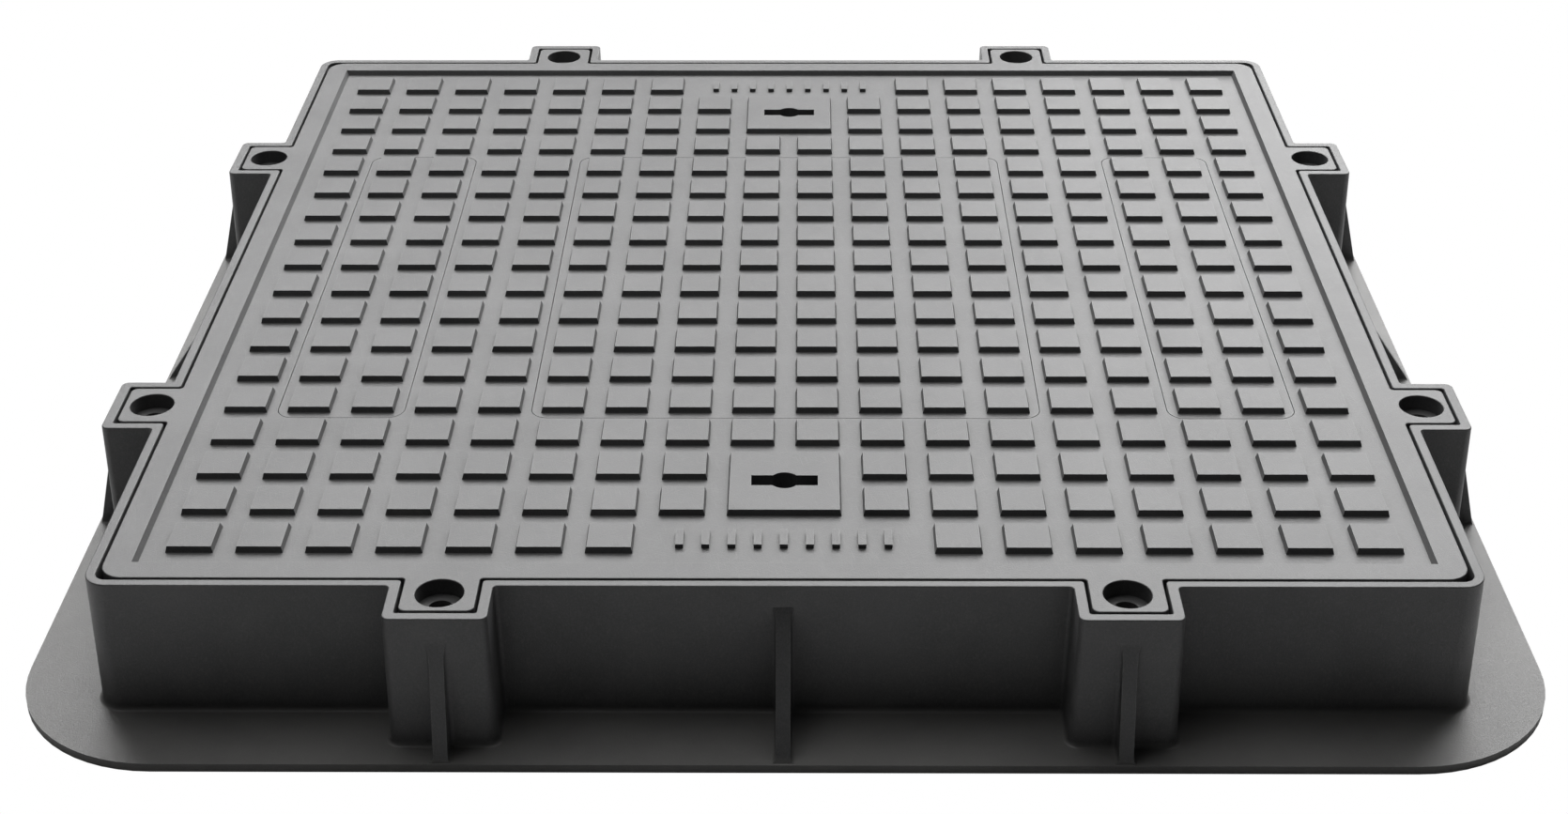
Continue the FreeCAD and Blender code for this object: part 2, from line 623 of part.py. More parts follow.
sketch = new_sketch(moulding, "pilot_hole_outlines", SKIN_UNDERSIDE)
for end, end_sign in (("front", "-1"), ("back", "1")):
    for corner, (x, y) in enumerate((("-1", "-1"), ("1", "-1"), ("1", "1"), ("-1", "1"))):
        add_circle(sketch, f"{end}_{corner}", f"{x} * {SCREW_OFFSET}",
                   f"{end_sign} * {KEY_REACH} + {y} * {SCREW_OFFSET}",
                   "Sizes.pot_screw + 2 * Sizes.pot_screw_clearance")
pocket(moulding, "pilot_holes", sketch, "Sizes.pot_screw_bite + 1", upwards=True)

bolt_cuts = []
for name, diameter, depth in (("counterbores", "Sizes.counterbore", "Sizes.counterbore_depth"),
                              ("bolt_holes", "Sizes.bolt_hole", "Sizes.lug_depth")):
    sketch = new_sketch(moulding, f"{name}_outline", "Sizes.frame_height")
    for side, sign in (("left", "-1"), ("right", "1")):
        add_circle(sketch, side, f"{sign} * Sizes.lug_offset", f"-{BOLT_REACH}", diameter)
    bolt_cuts.append(pocket(moulding, name, sketch, depth))
repeat_on_four_sides(moulding, "all_bolt_cuts", bolt_cuts)
round_edges(moulding, "top_edges", "Sizes.edge_round",
            lambda edge: lies_at(edge, size("Sizes.frame_height"))
            and reach(edge) > size(HALF_COVER) - 1e-3)

cover_studs = place_studs("cover_studs", range(TREAD_COUNT), range(TREAD_COUNT), belongs_elsewhere)
cover = document.addObject("Part::MultiFuse", "cover")
cover.Shapes = [moulding, cover_studs, place_marks()]
cover.Refine = False
document.recompute()

# ---------------------------------------------------------------- tread panels
# Moulded tread inlays bonded into the cover's shallow pockets, flush with the tread floor.
panels = []
for label, columns in PANEL_COLUMNS.items():
    plate = new_body(f"{label}_plate")
    sketch = new_sketch(plate, f"{label}_outline", RECESS_FLOOR)
    add_centred_rectangle(sketch, "panel", f"{len(columns)} * Sizes.tread_pitch - Sizes.panel_joint",
                          f"{PANEL_DEPTH} - Sizes.panel_joint",
                          "Sizes.panel_corner - Sizes.panel_joint", middle_of(columns))
    pad(plate, f"{label}_pad", sketch, "Sizes.panel_thickness", downwards=True)
    studs = place_studs(f"{label}_studs", columns, PANEL_ROWS, lambda column, row: False)
    panel = document.addObject("Part::MultiFuse", label)
    panel.Shapes = [plate, studs]
    panel.Refine = False
    panels.append(panel)

# ---------------------------------------------------------------- seat seal
# A rubber ring lying in the seat's groove, under the cover's skirt.
seal = new_body("seat_seal")
sketch = new_sketch(seal, "seal_outline", f"{SEAT_HEIGHT} - Sizes.groove_depth")
add_centred_rectangle(sketch, "outer", SEAL_SIDE, SEAL_SIDE, "Sizes.cover_corner")
add_centred_rectangle(sketch, "inner", f"{SEAL_SIDE} - 2 * Sizes.seal_width",
                      f"{SEAL_SIDE} - 2 * Sizes.seal_width",
                      "Sizes.cover_corner - Sizes.seal_width + 2")
pad(seal, "seal_ring", sketch, "Sizes.groove_depth + Sizes.seal_proud")

# ---------------------------------------------------------------- threaded inserts
# Collared metal inserts moulded into the lug shelves, tapped M12.
lug_places = {
    "front_left": ("-Sizes.lug_offset", f"-{BOLT_REACH}"),
    "front_right": ("Sizes.lug_offset", f"-{BOLT_REACH}"),
    "back_left": ("-Sizes.lug_offset", BOLT_REACH),
    "back_right": ("Sizes.lug_offset", BOLT_REACH),
    "left_front": (f"-{BOLT_REACH}", "-Sizes.lug_offset"),
    "left_back": (f"-{BOLT_REACH}", "Sizes.lug_offset"),
    "right_front": (BOLT_REACH, "-Sizes.lug_offset"),
    "right_back": (BOLT_REACH, "Sizes.lug_offset"),
}
inserts = []
for place, (x, y) in lug_places.items():
    insert = new_body(f"threaded_insert_{place}")
    sketch = new_sketch(insert, f"{place}_section", plane="XZ_Plane")
    add_profile(sketch, [("Sizes.insert_bore / 2", "0"),
                         ("Sizes.insert_collar / 2", "0"),
                         ("Sizes.insert_collar / 2", "-Sizes.collar_height"),
                         ("Sizes.insert_body / 2", "-Sizes.collar_height"),
                         ("Sizes.insert_body / 2", "-Sizes.insert_length"),
                         ("Sizes.insert_bore / 2", "-Sizes.insert_length")])
    turned = insert.newObject("PartDesign::Revolution", f"{place}_turned")
    turned.Profile = sketch
    turned.ReferenceAxis = (sketch, ["V_Axis"])
    turned.Angle = 360
    insert.setExpression("Placement.Base.x", x)
    insert.setExpression("Placement.Base.y", y)
    insert.setExpression("Placement.Base.z", LUG_SHELF)
    inserts.append(insert)
document.recompute()

# ---------------------------------------------------------------- keyhole fittings
# Under each keyhole: a steel strike plate with the same keyhole, which the turned head of
# the lifting key pulls against, a closed pot that keeps water out, and its four screws.
screw = new_body("pot_screw_pattern")
sketch = new_sketch(screw, "pot_screw_section", plane="XZ_Plane")
screw_top = "(Sizes.pot_flange + Sizes.strike_thickness + Sizes.pot_screw_bite)"
add_profile(sketch, [("0", "-Sizes.pot_screw_head_height"),
                     ("Sizes.pot_screw_head / 2", "-Sizes.pot_screw_head_height"),
                     ("Sizes.pot_screw_head / 2", "0"),
                     ("Sizes.pot_screw / 2", "0"),
                     ("Sizes.pot_screw / 2", screw_top),
                     ("0", screw_top)])
turned = screw.newObject("PartDesign::Revolution", "pot_screw_turned")
turned.Profile = sketch
turned.ReferenceAxis = (sketch, ["V_Axis"])
turned.Angle = 360
document.recompute()

fittings = []
for end, sign in (("front", "-1"), ("back", "1")):
    strike = new_body(f"strike_plate_{end}")
    sketch = new_sketch(strike, f"strike_{end}_outline")
    add_centred_rectangle(sketch, "plate", STRIKE_SIDE, STRIKE_SIDE, "Sizes.strike_corner")
    pad(strike, f"strike_{end}_pad", sketch, "Sizes.strike_thickness", downwards=True)
    sketch = new_sketch(strike, f"strike_{end}_slot_outline")
    add_centred_rectangle(sketch, "slot", "Sizes.key_slot_length", "Sizes.key_slot_width")
    pocket(strike, f"strike_{end}_slot", sketch, "Sizes.strike_thickness")
    sketch = new_sketch(strike, f"strike_{end}_shank_outline")
    add_circle(sketch, "shank", "0", "0", "Sizes.key_shank")
    pocket(strike, f"strike_{end}_shank", sketch, "Sizes.strike_thickness")

    pot = new_body(f"key_pot_{end}")
    sketch = new_sketch(pot, f"pot_{end}_flange_outline")
    add_centred_rectangle(sketch, "flange", STRIKE_SIDE, STRIKE_SIDE, "Sizes.strike_corner")
    pad(pot, f"pot_{end}_flange", sketch, "Sizes.pot_flange", downwards=True)
    sketch = new_sketch(pot, f"pot_{end}_cup_outline")
    add_circle(sketch, "cup", "0", "0", POT_OUTSIDE)
    pad(pot, f"pot_{end}_cup", sketch, "Sizes.pot_depth", downwards=True)
    sketch = new_sketch(pot, f"pot_{end}_inside_outline")
    add_circle(sketch, "inside", "0", "0", f"{POT_OUTSIDE} - 2 * Sizes.pot_wall")
    pocket(pot, f"pot_{end}_inside", sketch, "Sizes.pot_depth - Sizes.pot_wall")

    for body, thickness in ((strike, "Sizes.strike_thickness"), (pot, "Sizes.pot_flange")):
        sketch = new_sketch(body, f"{body.Label}_screw_hole_outlines")
        for corner, (x, y) in enumerate((("-1", "-1"), ("1", "-1"), ("1", "1"), ("-1", "1"))):
            add_circle(sketch, f"corner_{corner}", f"{x} * {SCREW_OFFSET}", f"{y} * {SCREW_OFFSET}",
                       "Sizes.pot_screw + 2 * Sizes.pot_screw_clearance")
        pocket(body, f"{body.Label}_screw_holes", sketch, thickness)
        body.setExpression("Placement.Base.y", f"{sign} * {KEY_REACH}")
    strike.setExpression("Placement.Base.z", SKIN_UNDERSIDE)
    pot.setExpression("Placement.Base.z", f"{SKIN_UNDERSIDE} - Sizes.strike_thickness")

    offset = size(SCREW_OFFSET)
    seat = size(f"{SKIN_UNDERSIDE} - Sizes.strike_thickness - Sizes.pot_flange")
    copies = []
    for x, y in ((-offset, -offset), (offset, -offset), (offset, offset), (-offset, offset)):
        copy = screw.Shape.copy()
        copy.translate(Vector(x, size(f"{sign} * {KEY_REACH}") + y, seat))
        copies.append(copy)
    screws = document.addObject("Part::Feature", f"key_pot_screws_{end}")
    screws.Shape = Part.makeCompound(copies)
    fittings += [strike, pot, screws]
document.recompute()

# ---------------------------------------------------------------- output
subparts = [frame, cover] + panels + [seal] + inserts + fittings
for item in document.Objects:
    if "Invalid" in item.State or "Error" in item.State:
        raise ValueError(f"{item.Name} failed to build: {item.State}")
for item in subparts:
    if item.Shape.isNull() or not item.Shape.isValid():
        raise ValueError(f"{item.Label} has no valid shape")

os.makedirs("parts", exist_ok=True)
for item in subparts:
    item.Shape.exportStep(f"parts/{item.Label}.step")
    print(f"{item.Label}: {len(item.Shape.Solids)} solid(s), {item.Shape.Volume / 1000:.1f} cm3")
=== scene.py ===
"""Bolted access cover and frame, moulded in glass-fibre composite.

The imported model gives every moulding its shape. This script gives each one its finish, and
makes the parts that need finer shapes than the model's: the lipped seal, the threaded inserts
and the screws. Lengths are in metres.
"""

import math

import bpy
import numpy as np
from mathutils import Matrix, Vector


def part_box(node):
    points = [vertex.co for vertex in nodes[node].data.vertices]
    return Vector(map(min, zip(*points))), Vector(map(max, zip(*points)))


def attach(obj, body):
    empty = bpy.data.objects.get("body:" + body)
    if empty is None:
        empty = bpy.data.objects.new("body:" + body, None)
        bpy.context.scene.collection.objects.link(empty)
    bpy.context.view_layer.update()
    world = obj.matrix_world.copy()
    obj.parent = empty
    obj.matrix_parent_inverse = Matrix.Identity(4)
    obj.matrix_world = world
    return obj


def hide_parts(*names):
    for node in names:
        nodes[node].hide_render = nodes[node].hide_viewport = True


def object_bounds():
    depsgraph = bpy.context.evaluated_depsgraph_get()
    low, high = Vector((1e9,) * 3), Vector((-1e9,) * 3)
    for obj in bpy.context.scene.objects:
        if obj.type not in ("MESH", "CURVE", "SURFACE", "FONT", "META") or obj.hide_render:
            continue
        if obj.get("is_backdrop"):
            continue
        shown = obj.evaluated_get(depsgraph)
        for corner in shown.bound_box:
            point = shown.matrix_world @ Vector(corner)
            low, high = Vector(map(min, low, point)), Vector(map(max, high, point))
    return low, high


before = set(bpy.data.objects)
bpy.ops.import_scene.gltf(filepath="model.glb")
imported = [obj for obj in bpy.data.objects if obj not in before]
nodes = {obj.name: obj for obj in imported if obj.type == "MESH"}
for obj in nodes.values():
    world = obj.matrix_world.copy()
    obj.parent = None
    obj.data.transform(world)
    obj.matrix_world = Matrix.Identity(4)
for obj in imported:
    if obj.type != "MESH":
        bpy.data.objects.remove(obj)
cad_low, cad_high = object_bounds()

# ------------------------------------------------------------------ frame
# The bottom piece is a square ring with a wide flange, hot-pressed from sheet moulding
# compound: polyester resin, chopped glass strands and dark grey pigment. It is bedded in
# mortar on the chamber. The press tool leaves a fine spark-eroded grain on every face.
COMPOSITE_GREY = (0.050, 0.050, 0.051, 1.0)
BLOOM_GREY = (0.082, 0.082, 0.083, 1.0)
# The pale grey of the strands and of rubbed edges; on edges it is partly wear and partly a painted edge
# highlight.
RUBBED_AND_HIGHLIGHT_GREY = (0.150, 0.150, 0.150, 1.0)
DUST_GREY = (0.130, 0.128, 0.122, 1.0)
COMPOSITE_ROUGHNESS = (0.41, 0.53)
GRAINS_PER_METRE = 900.0
CLOUDS_PER_METRE = 9.0
GRAIN_DEPTH = 0.00024
STRANDS_PER_METRE = (70.0, 1250.0, 400.0)  # along a strand, across it and through the skin
STRAND_TURNS = (17.0, 78.0, 139.0)  # degrees
STRAND_PALENESS = 0.16
STRAND_HEIGHT = 0.12  # as a share of the grain's depth
SPECKLE = 0.30
# Shares of the pale edge colour, which is partly wear and partly a painted highlight.
RUBBED_AND_HIGHLIGHT_SHARE = (0.15, 0.75)  # in the grain's pits and on its peaks
RUBBED_SMOOTHING = -0.10
CORNER_DUST = 0.20
DUST_ROUGHENING = 0.35
FLANGE_DUST = (0.45, 0.80)  # between the blooms and on them
FLANGE_DUST_TOP = 0.010
FLANGE_DUST_FADE = 0.004
FRAME_EDGE = 0.0005


def add_node(tree, kind, inputs=None, **settings):
    """A shader node whose sockets are set, or linked where the value given is a socket."""
    node = tree.nodes.new(kind)
    for name, value in settings.items():
        setattr(node, name, value)
    for name, value in (inputs or {}).items():
        if isinstance(value, bpy.types.NodeSocket):
            tree.links.new(value, node.inputs[name])
        else:
            node.inputs[name].default_value = value
    return node


def add_math(tree, operation, first, second):
    """The result socket of one sum, product or the like."""
    return add_node(tree, "ShaderNodeMath", {0: first, 1: second}, operation=operation).outputs[0]


def add_range(tree, value, span, wanted=(0.0, 1.0)):
    """A value stretched from one span to the wanted one and held inside it."""
    given = {"Value": value, "From Min": span[0], "From Max": span[1],
             "To Min": wanted[0], "To Max": wanted[1]}
    return add_node(tree, "ShaderNodeMapRange", given).outputs["Result"]


def add_colour_mix(tree, share, first, second):
    """A blend of two colours. Sockets 6 and 7 are the Mix node's colours A and B."""
    node = add_node(tree, "ShaderNodeMix", {"Factor": share, 6: first, 7: second}, data_type="RGBA")
    return node.outputs[2]


def add_group(tree, group, inputs=None):
    """The output sockets of a node group placed in a material."""
    return add_node(tree, "ShaderNodeGroup", inputs, node_tree=group).outputs


def add_relief(tree, surface, height, strength, depth):
    """Bumps a surface shader's normal by a height between 0 and 1 that stands for depth metres."""
    bump = add_node(tree, "ShaderNodeBump", {"Height": height, "Strength": strength, "Distance": depth})
    tree.links.new(bump.outputs["Normal"], surface["Normal"])


def start_group(name, inputs, outputs):
    """An empty shader node group, with the sockets that its input and output nodes show."""
    group = bpy.data.node_groups.new(name, "ShaderNodeTree")
    for label, kind, value in inputs:
        socket = group.interface.new_socket(label, in_out="INPUT", socket_type=kind)
        if value is not None:
            socket.default_value = value
    for label in outputs:
        group.interface.new_socket(label, in_out="OUTPUT", socket_type="NodeSocketFloat")
    return group, group.nodes.new("NodeGroupInput").outputs, group.nodes.new("NodeGroupOutput").inputs


def make_press_grain():
    """The tool's grain and the resin's cloudiness.

    Height is coarse_share of a noise at the grain's size, and the rest of one that is fineness
    times finer. Cloud is a slow noise, about 110 mm across, with four finer octaves on it.
    """
    coarse_share = 0.6
    fineness = 3.1
    group, given, wanted = start_group(
        "press_grain",
        [("Vector", "NodeSocketVector", None), ("Per Metre", "NodeSocketFloat", GRAINS_PER_METRE)],
        ["Height", "Cloud"])
    coarse = add_node(group, "ShaderNodeTexNoise",
                      {"Vector": given["Vector"], "Scale": given["Per Metre"], "Detail": 2.0})
    finer = add_math(group, "MULTIPLY", given["Per Metre"], fineness)
    fine = add_node(group, "ShaderNodeTexNoise",
                    {"Vector": given["Vector"], "Scale": finer, "Detail": 1.0})
    heavy = add_math(group, "MULTIPLY", coarse.outputs["Fac"], coarse_share)
    light = add_math(group, "MULTIPLY", fine.outputs["Fac"], 1.0 - coarse_share)
    cloud = add_node(group, "ShaderNodeTexNoise",
                     {"Vector": given["Vector"], "Scale": CLOUDS_PER_METRE, "Detail": 4.0,
                      "Roughness": 0.6})
    group.links.new(add_math(group, "ADD", heavy, light), wanted["Height"])
    group.links.new(cloud.outputs["Fac"], wanted["Cloud"])
    return group


def make_glass_strands():
    """Chopped strands just under the skin, lying flat in three directions.

    Each direction is a noise about 14 mm long and 0.8 mm wide, kept only at its peaks. The mask
    is the strongest of the three.
    """
    group, given, wanted = start_group("glass_strands", [("Vector", "NodeSocketVector", None)], ["Mask"])
    strongest = 0.0
    for turn in STRAND_TURNS:
        laid = add_node(group, "ShaderNodeMapping",
                        {"Vector": given["Vector"], "Rotation": (0.0, 0.0, math.radians(turn))})
        drawn = add_node(group, "ShaderNodeMapping",
                         {"Vector": laid.outputs["Vector"], "Scale": STRANDS_PER_METRE})
        noise = add_node(group, "ShaderNodeTexNoise",
                         {"Vector": drawn.outputs["Vector"], "Scale": 1.0, "Detail": 1.0})
        peaks = add_range(group, noise.outputs["Fac"], (0.60, 0.72))
        strongest = add_math(group, "MAXIMUM", peaks, strongest)
    group.links.new(strongest, wanted["Mask"])
    return group


def make_wear_and_highlight_places():
    """Where handling rubs, where the composite gets a painted edge highlight, and where dirt stays.

    Edge is how far a normal rounded over a small radius turns away from the face's own, as the
    cosine between them falls, on open edges only. Corner is how much of the space over an
    upward face is walled in nearby.
    """
    group, given, wanted = start_group(
        "wear_and_highlight_places", [("Edge Radius", "NodeSocketFloat", 0.001), ("Shelter", "NodeSocketFloat", 0.012)],
        ["Edge", "Corner"])
    face = add_node(group, "ShaderNodeNewGeometry")
    rounded = add_node(group, "ShaderNodeBevel", {"Radius": given["Edge Radius"]}, samples=4)
    agree = add_node(group, "ShaderNodeVectorMath",
                     {0: rounded.outputs["Normal"], 1: face.outputs["True Normal"]},
                     operation="DOT_PRODUCT")
    open_sky = add_node(group, "ShaderNodeAmbientOcclusion", {"Distance": given["Shelter"]},
                        samples=4, only_local=True)
    turned = add_range(group, agree.outputs["Value"], (0.995, 0.88))
    exposed = add_range(group, open_sky.outputs["AO"], (0.70, 0.92))
    upward = add_node(group, "ShaderNodeSeparateXYZ", {"Vector": face.outputs["True Normal"]})
    level = add_range(group, upward.outputs["Z"], (0.6, 0.9))
    sheltered = add_range(group, open_sky.outputs["AO"], (0.95, 0.55))
    group.links.new(add_math(group, "MULTIPLY", turned, exposed), wanted["Edge"])
    group.links.new(add_math(group, "MULTIPLY", level, sheltered), wanted["Corner"])
    return group


press_grain = make_press_grain()
glass_strands = make_glass_strands()
wear_and_highlight_places = make_wear_and_highlight_places()


def start_material(name, shift=(0.0, 0.0, 0.0)):
    """A new material, with its surface shader and a socket of object coordinates moved by shift."""
    material = bpy.data.materials.new(name)
    material.use_nodes = True
    tree = material.node_tree
    place = add_node(tree, "ShaderNodeTexCoord")
    moved = add_node(tree, "ShaderNodeMapping", {"Vector": place.outputs["Object"], "Location": shift})
    return material, tree, tree.nodes["Principled BSDF"].inputs, moved.outputs["Vector"]


def make_composite(name, shift, dust_height=0.0):
    """Pressed composite: dark satin grey with a slow bloom, faint strands and a fine grain.

    Rubbed edges are paler and smoother; the paler colour is partly wear and partly a painted
    edge highlight. Dust greys the corners, and all that lies lower than dust_height.
    """
    material, tree, surface, place = start_material(name, shift)
    grain = add_group(tree, press_grain, {"Vector": place})
    strands = add_group(tree, glass_strands, {"Vector": place})
    wear = add_group(tree, wear_and_highlight_places)

    bloom = add_range(tree, grain["Cloud"], (0.30, 0.72))
    speckle = add_range(tree, grain["Height"], (0.36, 0.60), (-SPECKLE, SPECKLE))
    mottled = add_math(tree, "ADD", bloom, speckle)
    faint = add_math(tree, "MULTIPLY", strands["Mask"], STRAND_PALENESS)
    # Edges are painted paler here: partly handling wear, partly a painted edge highlight.
    patchy = add_range(tree, grain["Height"], (0.40, 0.58), RUBBED_AND_HIGHLIGHT_SHARE)
    rubbed_and_highlight = add_math(tree, "MULTIPLY", wear["Edge"], patchy)
    dusty = add_math(tree, "MULTIPLY", wear["Corner"], CORNER_DUST)
    height = add_node(tree, "ShaderNodeSeparateXYZ", {"Vector": place}).outputs["Z"]
    low_down = add_range(tree, height, (dust_height, dust_height - FLANGE_DUST_FADE))
    settled = add_math(tree, "MULTIPLY", low_down, add_range(tree, bloom, (0.0, 1.0), FLANGE_DUST))

    colour = add_colour_mix(tree, mottled, COMPOSITE_GREY, BLOOM_GREY)
    colour = add_colour_mix(tree, faint, colour, RUBBED_AND_HIGHLIGHT_GREY)
    colour = add_colour_mix(tree, rubbed_and_highlight, colour, RUBBED_AND_HIGHLIGHT_GREY)
    colour = add_colour_mix(tree, add_math(tree, "MAXIMUM", dusty, settled), colour, DUST_GREY)
    tree.links.new(colour, surface["Base Color"])

    satin = add_range(tree, grain["Height"], (0.35, 0.65), COMPOSITE_ROUGHNESS)
    smoother = add_math(tree, "MULTIPLY", rubbed_and_highlight, RUBBED_SMOOTHING)
    rougher = add_math(tree, "MULTIPLY", dusty, DUST_ROUGHENING)
    gloss = add_math(tree, "ADD", add_math(tree, "ADD", satin, smoother), rougher)
    tree.links.new(gloss, surface["Roughness"])

    raised = add_math(tree, "MULTIPLY", strands["Mask"], STRAND_HEIGHT)
    uneven = add_math(tree, "ADD", grain["Height"], raised)
    add_relief(tree, surface, uneven, strength=0.60, depth=GRAIN_DEPTH)
    return material


def finish_node(name, material):
    """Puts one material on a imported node."""
    slots = nodes[name].data.materials
    slots.clear()
    slots.append(material)


def soften_edges(name, radius):
    """Rounds a node's sharp edges in two facets, once its triangles are joined up.

    The weighted normals then keep its broad faces flat up to their roundings.
    """
    joined = nodes[name].modifiers.new("joined", "WELD")
    joined.merge_threshold = 1e-6
    rounded = nodes[name].modifiers.new("rounded", "BEVEL")
    rounded.width = radius
    rounded.segments = 2
    rounded.limit_method = "ANGLE"
    rounded.angle_limit = math.radians(30.0)
    nodes[name].modifiers.new("flat_faces", "WEIGHTED_NORMAL").weight = 100


frame_composite = make_composite("frame_composite", shift=(0.0, 0.0, 0.0), dust_height=FLANGE_DUST_TOP)
finish_node("frame", frame_composite)
soften_edges("frame", FRAME_EDGE)

# ------------------------------------------------------------------ threaded inserts
# Eight turned brass inserts, moulded into the frame's lug shelves with their collars flush.
# The bore is tapped M12, and a cross-cut knurl keeps the insert from turning in the resin.
TAPPING_RADIUS = 0.0051
THREAD_PITCH = 0.00175
THREAD_DEPTH = 0.0009
MOUTH_CHAMFER = 0.0013
FOOT_CHAMFER = 0.0008
COLLAR_STEP = 0.002
COLLAR_HEIGHT = 0.003
COLLAR_FOOT_EDGE = 0.0003
COLLAR_TOP_EDGE = 0.0004
KNURLS = 24
KNURL_DEPTH = 0.00035
KNURL_TURN = 500.0  # radians of spiral in a metre of height
CREASE_ANGLE = 38.0  # degrees
INSERT_STEPS_AROUND = 96
BORE_STEPS = 110
BODY_STEPS = 30
BRASS = (0.50, 0.36, 0.14, 1.0)
OLD_BRASS = (0.20, 0.15, 0.075, 1.0)
BRASS_ROUGHNESS = (0.24, 0.50)


def add_surface(name, points, material, body, looped=False, flat_ends=False):
    """A piece from a grid of points, whose columns close into rings.

    The rings also close end to end if looped, and flat_ends gives the first and last a lid.
    """
    rows, columns = points.shape[:2]
    index = np.arange(rows * columns).reshape(rows, columns)
    above = np.roll(index, -1, axis=0)
    if not looped:
        index, above = index[:-1], above[:-1]
    around = np.roll(index, -1, axis=1)
    above_around = np.roll(above, -1, axis=1)
    faces = np.stack([index, around, above_around, above], axis=-1).reshape(-1, 4).tolist()
    if flat_ends:
        faces.append(list(range(columns))[::-1])
        faces.append(list(range((rows - 1) * columns, rows * columns)))
    mesh = bpy.data.meshes.new(name)
    mesh.from_pydata(points.reshape(-1, 3), [], faces)
    mesh.shade_smooth()
    mesh.set_sharp_from_angle(angle=math.radians(CREASE_ANGLE))
    mesh.materials.append(material)
    piece = bpy.data.objects.new(name, mesh)
    bpy.context.scene.collection.objects.link(piece)
    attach(piece, body)
    return piece


def screw_wave(turn, height, pitch):
    """How full a thread is: 0 in its roots and 1 on its crests, rising once a pitch and a turn.

    It is a triangle wave stretched past 0 and 1 and clipped, so roots and crests are flat.
    """
    flat = 0.12
    phase = (height / pitch - turn / (2 * math.pi)) % 1.0
    triangle = 1.0 - np.abs(2.0 * phase - 1.0)
    return np.clip((triangle - flat) / (1.0 - 2.0 * flat), 0.0, 1.0)


def insert_surface(low, high):
    """Points of one insert inside its box, as rings along its closed section.

    The section runs down the tapped bore and up the outside. In the bore the radius is the
    tapping radius plus the thread's depth where the wave is full, and the mouth is chamfered.
    On the body it is the outer radius less a cross-cut knurl, a product of two spiral waves.
    """
    centre = (low + high) / 2
    top = high.z
    bottom = low.z
    collar = (high.x - low.x) / 2
    body = collar - COLLAR_STEP
    collar_foot = top - COLLAR_HEIGHT
    turn = np.linspace(0.0, 2 * math.pi, INSERT_STEPS_AROUND, endpoint=False)[None, :]

    down = np.linspace(top, bottom, BORE_STEPS)[:, None]
    tapped = TAPPING_RADIUS + THREAD_DEPTH * screw_wave(turn, down, THREAD_PITCH)
    mouth = TAPPING_RADIUS + MOUTH_CHAMFER - np.minimum(top - down, down - bottom)
    bore_rings = np.maximum(tapped, mouth)

    up = np.linspace(bottom + FOOT_CHAMFER, collar_foot, BODY_STEPS)[:, None]
    first = np.sin(KNURLS / 2 * turn + KNURL_TURN * up)
    second = np.sin(KNURLS / 2 * turn - KNURL_TURN * up)
    body_rings = body - KNURL_DEPTH * (1.0 - np.abs(first * second))

    collar_radii = np.array([[body], [collar - COLLAR_FOOT_EDGE], [collar], [collar],
                             [collar - COLLAR_TOP_EDGE]])
    collar_heights = np.array([[collar_foot], [collar_foot], [collar_foot + COLLAR_FOOT_EDGE],
                               [top - COLLAR_TOP_EDGE], [top]])
    radii = np.concatenate([bore_rings, body_rings, collar_radii + 0.0 * turn])
    heights = np.concatenate([down, up, collar_heights]) + 0.0 * turn
    return np.stack([centre.x + radii * np.cos(turn), centre.y + radii * np.sin(turn), heights],
                    axis=-1)


def make_brass():
    """Turned brass, dull between its bright tool marks. The marks are rings, so they follow height."""
    material, tree, surface, place = start_material("insert_brass")
    grain = add_group(tree, press_grain, {"Vector": place, "Per Metre": 350.0})
    wear = add_group(tree, wear_and_highlight_places, {"Edge Radius": 0.0004})
    tarnish = add_range(tree, grain["Height"], (0.42, 0.62))
    kept = add_math(tree, "SUBTRACT", tarnish, wear["Edge"])
    tree.links.new(add_colour_mix(tree, kept, BRASS, OLD_BRASS), surface["Base Color"])
    surface["Metallic"].default_value = 1.0
    tree.links.new(add_range(tree, tarnish, (0.0, 1.0), BRASS_ROUGHNESS), surface["Roughness"])
    marks = add_node(tree, "ShaderNodeTexWave", {"Vector": place, "Scale": 1400.0, "Distortion": 0.6},
                     bands_direction="Z")
    add_relief(tree, surface, marks.outputs["Fac"], strength=0.3, depth=0.00004)
    return material


brass = make_brass()
insert_nodes = sorted(name for name in nodes if name.startswith("threaded_insert"))
for name in insert_nodes:
    piece = add_surface(f"{name}_turned", insert_surface(*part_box(name)), brass, "frame",
                        looped=True)
    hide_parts(name)

# ------------------------------------------------------------------ seat seal
# A ring of black EPDM rubber that lies in the seat's groove under the cover's skirt. It keeps
# surface water and smells in their places, and stops the cover from rattling.
SEAL_WIDTH = 0.012
SEAL_CORNER = 0.009
SEAL_FOOT_EDGE = 0.0004
LIP_SPACING = 0.004
LIP_RISE = 0.0013
LIP_SHOULDER = 0.0012
STEPS_PER_CORNER = 13
STEPS_ACROSS = 37
RUBBER = (0.014, 0.014, 0.014, 1.0)
RUBBER_BLOOM = (0.045, 0.045, 0.047, 1.0)
RUBBER_ROUGHNESS = (0.52, 0.78)


